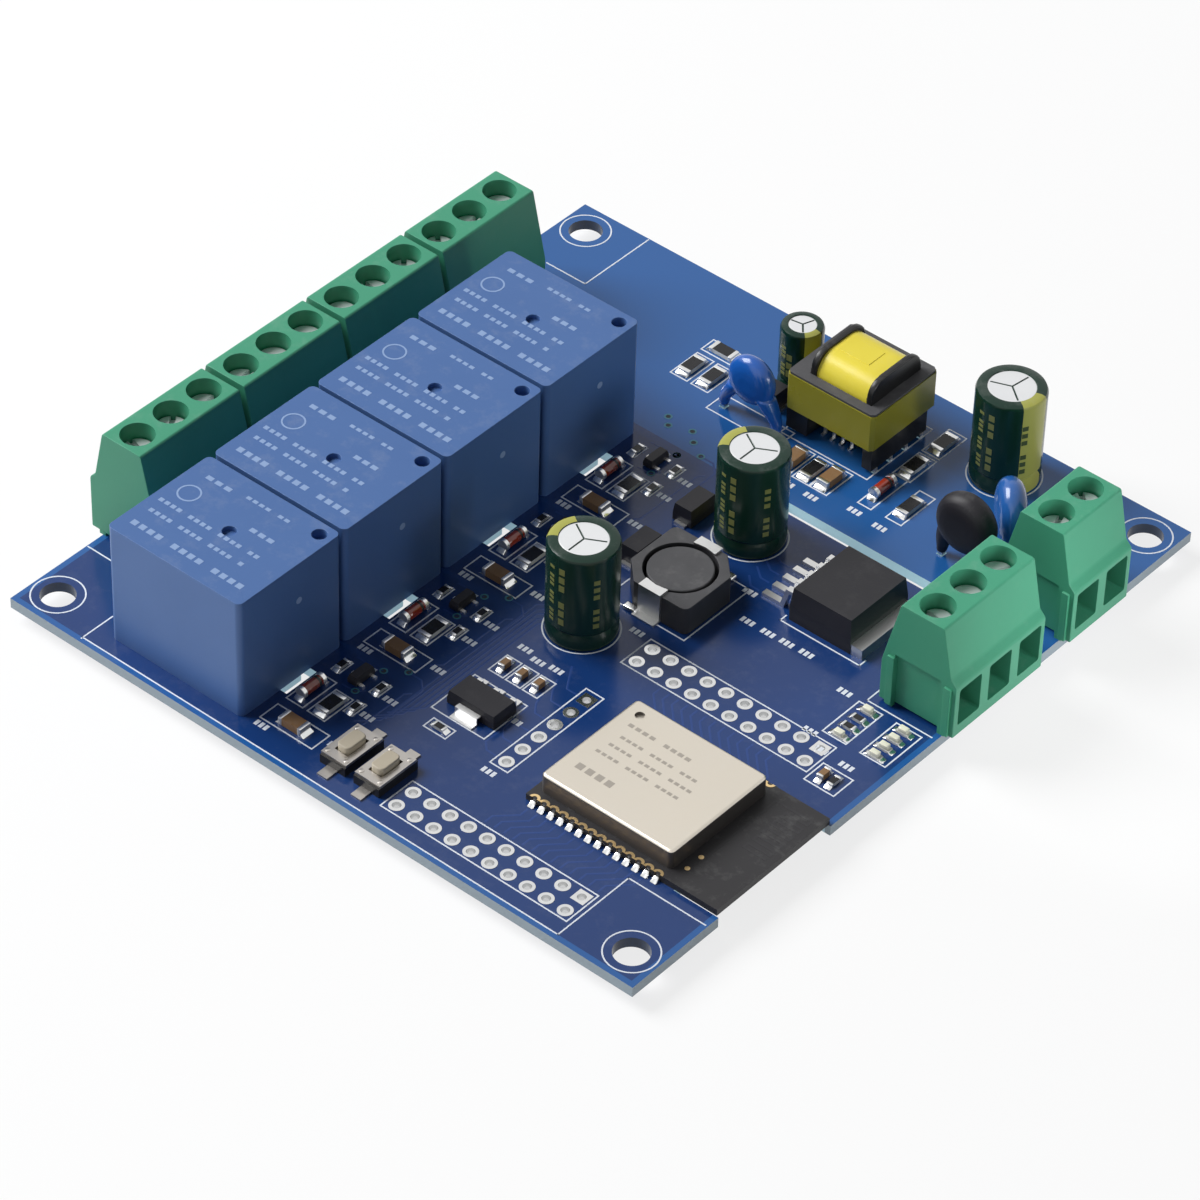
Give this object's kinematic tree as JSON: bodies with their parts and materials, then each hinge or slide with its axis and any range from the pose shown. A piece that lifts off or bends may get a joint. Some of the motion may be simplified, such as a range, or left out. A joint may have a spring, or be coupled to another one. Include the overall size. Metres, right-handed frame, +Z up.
{
  "type": "relay module board",
  "caption": "Blue relay board with cube relays, green screw terminals, a shielded wireless module, a small transformer supply and push buttons.",
  "frame": {"origin": "middle of the four mounting holes, in the plane of the board's underside", "axes": "+X across the board from the relay output terminals to the supply terminals, +Y along the board towards the transformer end, +Z up out of the component side"},
  "size_m": [0.09, 0.0936, 0.0184],
  "materials": {
    "board_blue": "satin solder mask",
    "relay_blue": "semi-gloss moulded",
    "terminal_green": "semi-matte moulded",
    "tinned": "tin plated",
    "zinc_plated": "bright zinc plated",
    "module_black": "satin solder mask",
    "can_satin": "satin drawn sheet",
    "sleeve_black": "glossy shrunk film",
    "ferrite": "matt fired",
    "bobbin_black": "moulded",
    "tape_yellow": "glossy film",
    "package_black": "moulded epoxy",
    "resistor_black": "glazed",
    "ceramic_brown": "fired",
    "lamp_clear": "clear moulded",
    "diode_red": "glass tube",
    "coating_blue": "dipped epoxy",
    "coating_light_blue": "dipped epoxy",
    "coating_black": "dipped resin",
    "switch_steel": "pressed sheet",
    "button_cream": "moulded"
  },
  "bodies": {
    "board_assembly": {"capacitors": "sleeve_black", "chip_capacitors": "ceramic_brown", "chip_leads": "tinned", "chip_packages": "package_black", "chip_resistors": "resistor_black", "choke_clips": "tinned", "choke_drum": "ferrite", "choke_shield": "ferrite", "circuit_board": "board_blue", "component_leads": "tinned", "glass_diodes": "diode_red", "indicator_lamps": "lamp_clear", "module_board": "module_black", "regulator_body": "package_black", "regulator_leads": "tinned", "relay_1": "relay_blue", "relay_2": "relay_blue", "relay_3": "relay_blue", "relay_4": "relay_blue", "relay_pins": "tinned", "safety_capacitor": "coating_blue", "shield_can": "can_satin", "switch_bases": "package_black", "switch_covers": "switch_steel", "terminal_clamps": "zinc_plated", "terminal_housings": "terminal_green", "terminal_pins": "tinned", "thermistor": "coating_black", "transformer_bobbin": "bobbin_black", "transformer_core": "ferrite", "transformer_tape": "tape_yellow", "transformer_winding": "tape_yellow", "varistor": "coating_light_blue"},
    "push_button_1": {"push_button_1": "button_cream"},
    "push_button_2": {"push_button_2": "button_cream"},
    "terminal_screw_01": {"terminal_screw_01": "zinc_plated"},
    "terminal_screw_02": {"terminal_screw_02": "zinc_plated"},
    "terminal_screw_03": {"terminal_screw_03": "zinc_plated"},
    "terminal_screw_04": {"terminal_screw_04": "zinc_plated"},
    "terminal_screw_05": {"terminal_screw_05": "zinc_plated"},
    "terminal_screw_06": {"terminal_screw_06": "zinc_plated"},
    "terminal_screw_07": {"terminal_screw_07": "zinc_plated"},
    "terminal_screw_08": {"terminal_screw_08": "zinc_plated"},
    "terminal_screw_09": {"terminal_screw_09": "zinc_plated"},
    "terminal_screw_10": {"terminal_screw_10": "zinc_plated"},
    "terminal_screw_11": {"terminal_screw_11": "zinc_plated"},
    "terminal_screw_12": {"terminal_screw_12": "zinc_plated"},
    "terminal_screw_13": {"terminal_screw_13": "zinc_plated"},
    "terminal_screw_14": {"terminal_screw_14": "zinc_plated"},
    "terminal_screw_15": {"terminal_screw_15": "zinc_plated"},
    "terminal_screw_16": {"terminal_screw_16": "zinc_plated"},
    "terminal_screw_17": {"terminal_screw_17": "zinc_plated"}
  },
  "joints": [
    {"name": "terminal_screw_01_turn", "type": "hinge", "parent": "board_assembly", "child": "terminal_screw_01", "pos_m": [-0.0402, -0.02005, 0.0133], "axis": [0, 0, -1], "range_deg": [0, 2160]},
    {"name": "terminal_screw_02_turn", "type": "hinge", "parent": "board_assembly", "child": "terminal_screw_02", "pos_m": [-0.0402, -0.02513, 0.0133], "axis": [0, 0, -1], "range_deg": [0, 2160]},
    {"name": "terminal_screw_03_turn", "type": "hinge", "parent": "board_assembly", "child": "terminal_screw_03", "pos_m": [-0.0402, -0.03021, 0.0133], "axis": [0, 0, -1], "range_deg": [0, 2160]},
    {"name": "terminal_screw_04_turn", "type": "hinge", "parent": "board_assembly", "child": "terminal_screw_04", "pos_m": [-0.0402, -0.0041, 0.0133], "axis": [0, 0, -1], "range_deg": [0, 2160]},
    {"name": "terminal_screw_05_turn", "type": "hinge", "parent": "board_assembly", "child": "terminal_screw_05", "pos_m": [-0.0402, -0.00918, 0.0133], "axis": [0, 0, -1], "range_deg": [0, 2160]},
    {"name": "terminal_screw_06_turn", "type": "hinge", "parent": "board_assembly", "child": "terminal_screw_06", "pos_m": [-0.0402, -0.01426, 0.0133], "axis": [0, 0, -1], "range_deg": [0, 2160]},
    {"name": "terminal_screw_07_turn", "type": "hinge", "parent": "board_assembly", "child": "terminal_screw_07", "pos_m": [-0.0402, 0.01185, 0.0133], "axis": [0, 0, -1], "range_deg": [0, 2160]},
    {"name": "terminal_screw_08_turn", "type": "hinge", "parent": "board_assembly", "child": "terminal_screw_08", "pos_m": [-0.0402, 0.00677, 0.0133], "axis": [0, 0, -1], "range_deg": [0, 2160]},
    {"name": "terminal_screw_09_turn", "type": "hinge", "parent": "board_assembly", "child": "terminal_screw_09", "pos_m": [-0.0402, 0.00169, 0.0133], "axis": [0, 0, -1], "range_deg": [0, 2160]},
    {"name": "terminal_screw_10_turn", "type": "hinge", "parent": "board_assembly", "child": "terminal_screw_10", "pos_m": [-0.0402, 0.0278, 0.0133], "axis": [0, 0, -1], "range_deg": [0, 2160]},
    {"name": "terminal_screw_11_turn", "type": "hinge", "parent": "board_assembly", "child": "terminal_screw_11", "pos_m": [-0.0402, 0.02272, 0.0133], "axis": [0, 0, -1], "range_deg": [0, 2160]},
    {"name": "terminal_screw_12_turn", "type": "hinge", "parent": "board_assembly", "child": "terminal_screw_12", "pos_m": [-0.0402, 0.01764, 0.0133], "axis": [0, 0, -1], "range_deg": [0, 2160]},
    {"name": "terminal_screw_13_turn", "type": "hinge", "parent": "board_assembly", "child": "terminal_screw_13", "pos_m": [0.0399, 0.00537, 0.0133], "axis": [0, 0, -1], "range_deg": [0, 2160]},
    {"name": "terminal_screw_14_turn", "type": "hinge", "parent": "board_assembly", "child": "terminal_screw_14", "pos_m": [0.0399, 0.01045, 0.0133], "axis": [0, 0, -1], "range_deg": [0, 2160]},
    {"name": "terminal_screw_15_turn", "type": "hinge", "parent": "board_assembly", "child": "terminal_screw_15", "pos_m": [0.0399, 0.01553, 0.0133], "axis": [0, 0, -1], "range_deg": [0, 2160]},
    {"name": "terminal_screw_16_turn", "type": "hinge", "parent": "board_assembly", "child": "terminal_screw_16", "pos_m": [0.0399, 0.02556, 0.0133], "axis": [0, 0, -1], "range_deg": [0, 2160]},
    {"name": "terminal_screw_17_turn", "type": "hinge", "parent": "board_assembly", "child": "terminal_screw_17", "pos_m": [0.0399, 0.03064, 0.0133], "axis": [0, 0, -1], "range_deg": [0, 2160]},
    {"name": "push_button_1_press", "type": "slide", "parent": "board_assembly", "child": "push_button_1", "axis": [0, 0, -1], "range_m": [0, 0.00025], "stiffness_N_per_m": 4000, "springref_m": -0.0001},
    {"name": "push_button_2_press", "type": "slide", "parent": "board_assembly", "child": "push_button_2", "axis": [0, 0, -1], "range_m": [0, 0.00025], "stiffness_N_per_m": 4000, "springref_m": -0.0001}
  ]
}
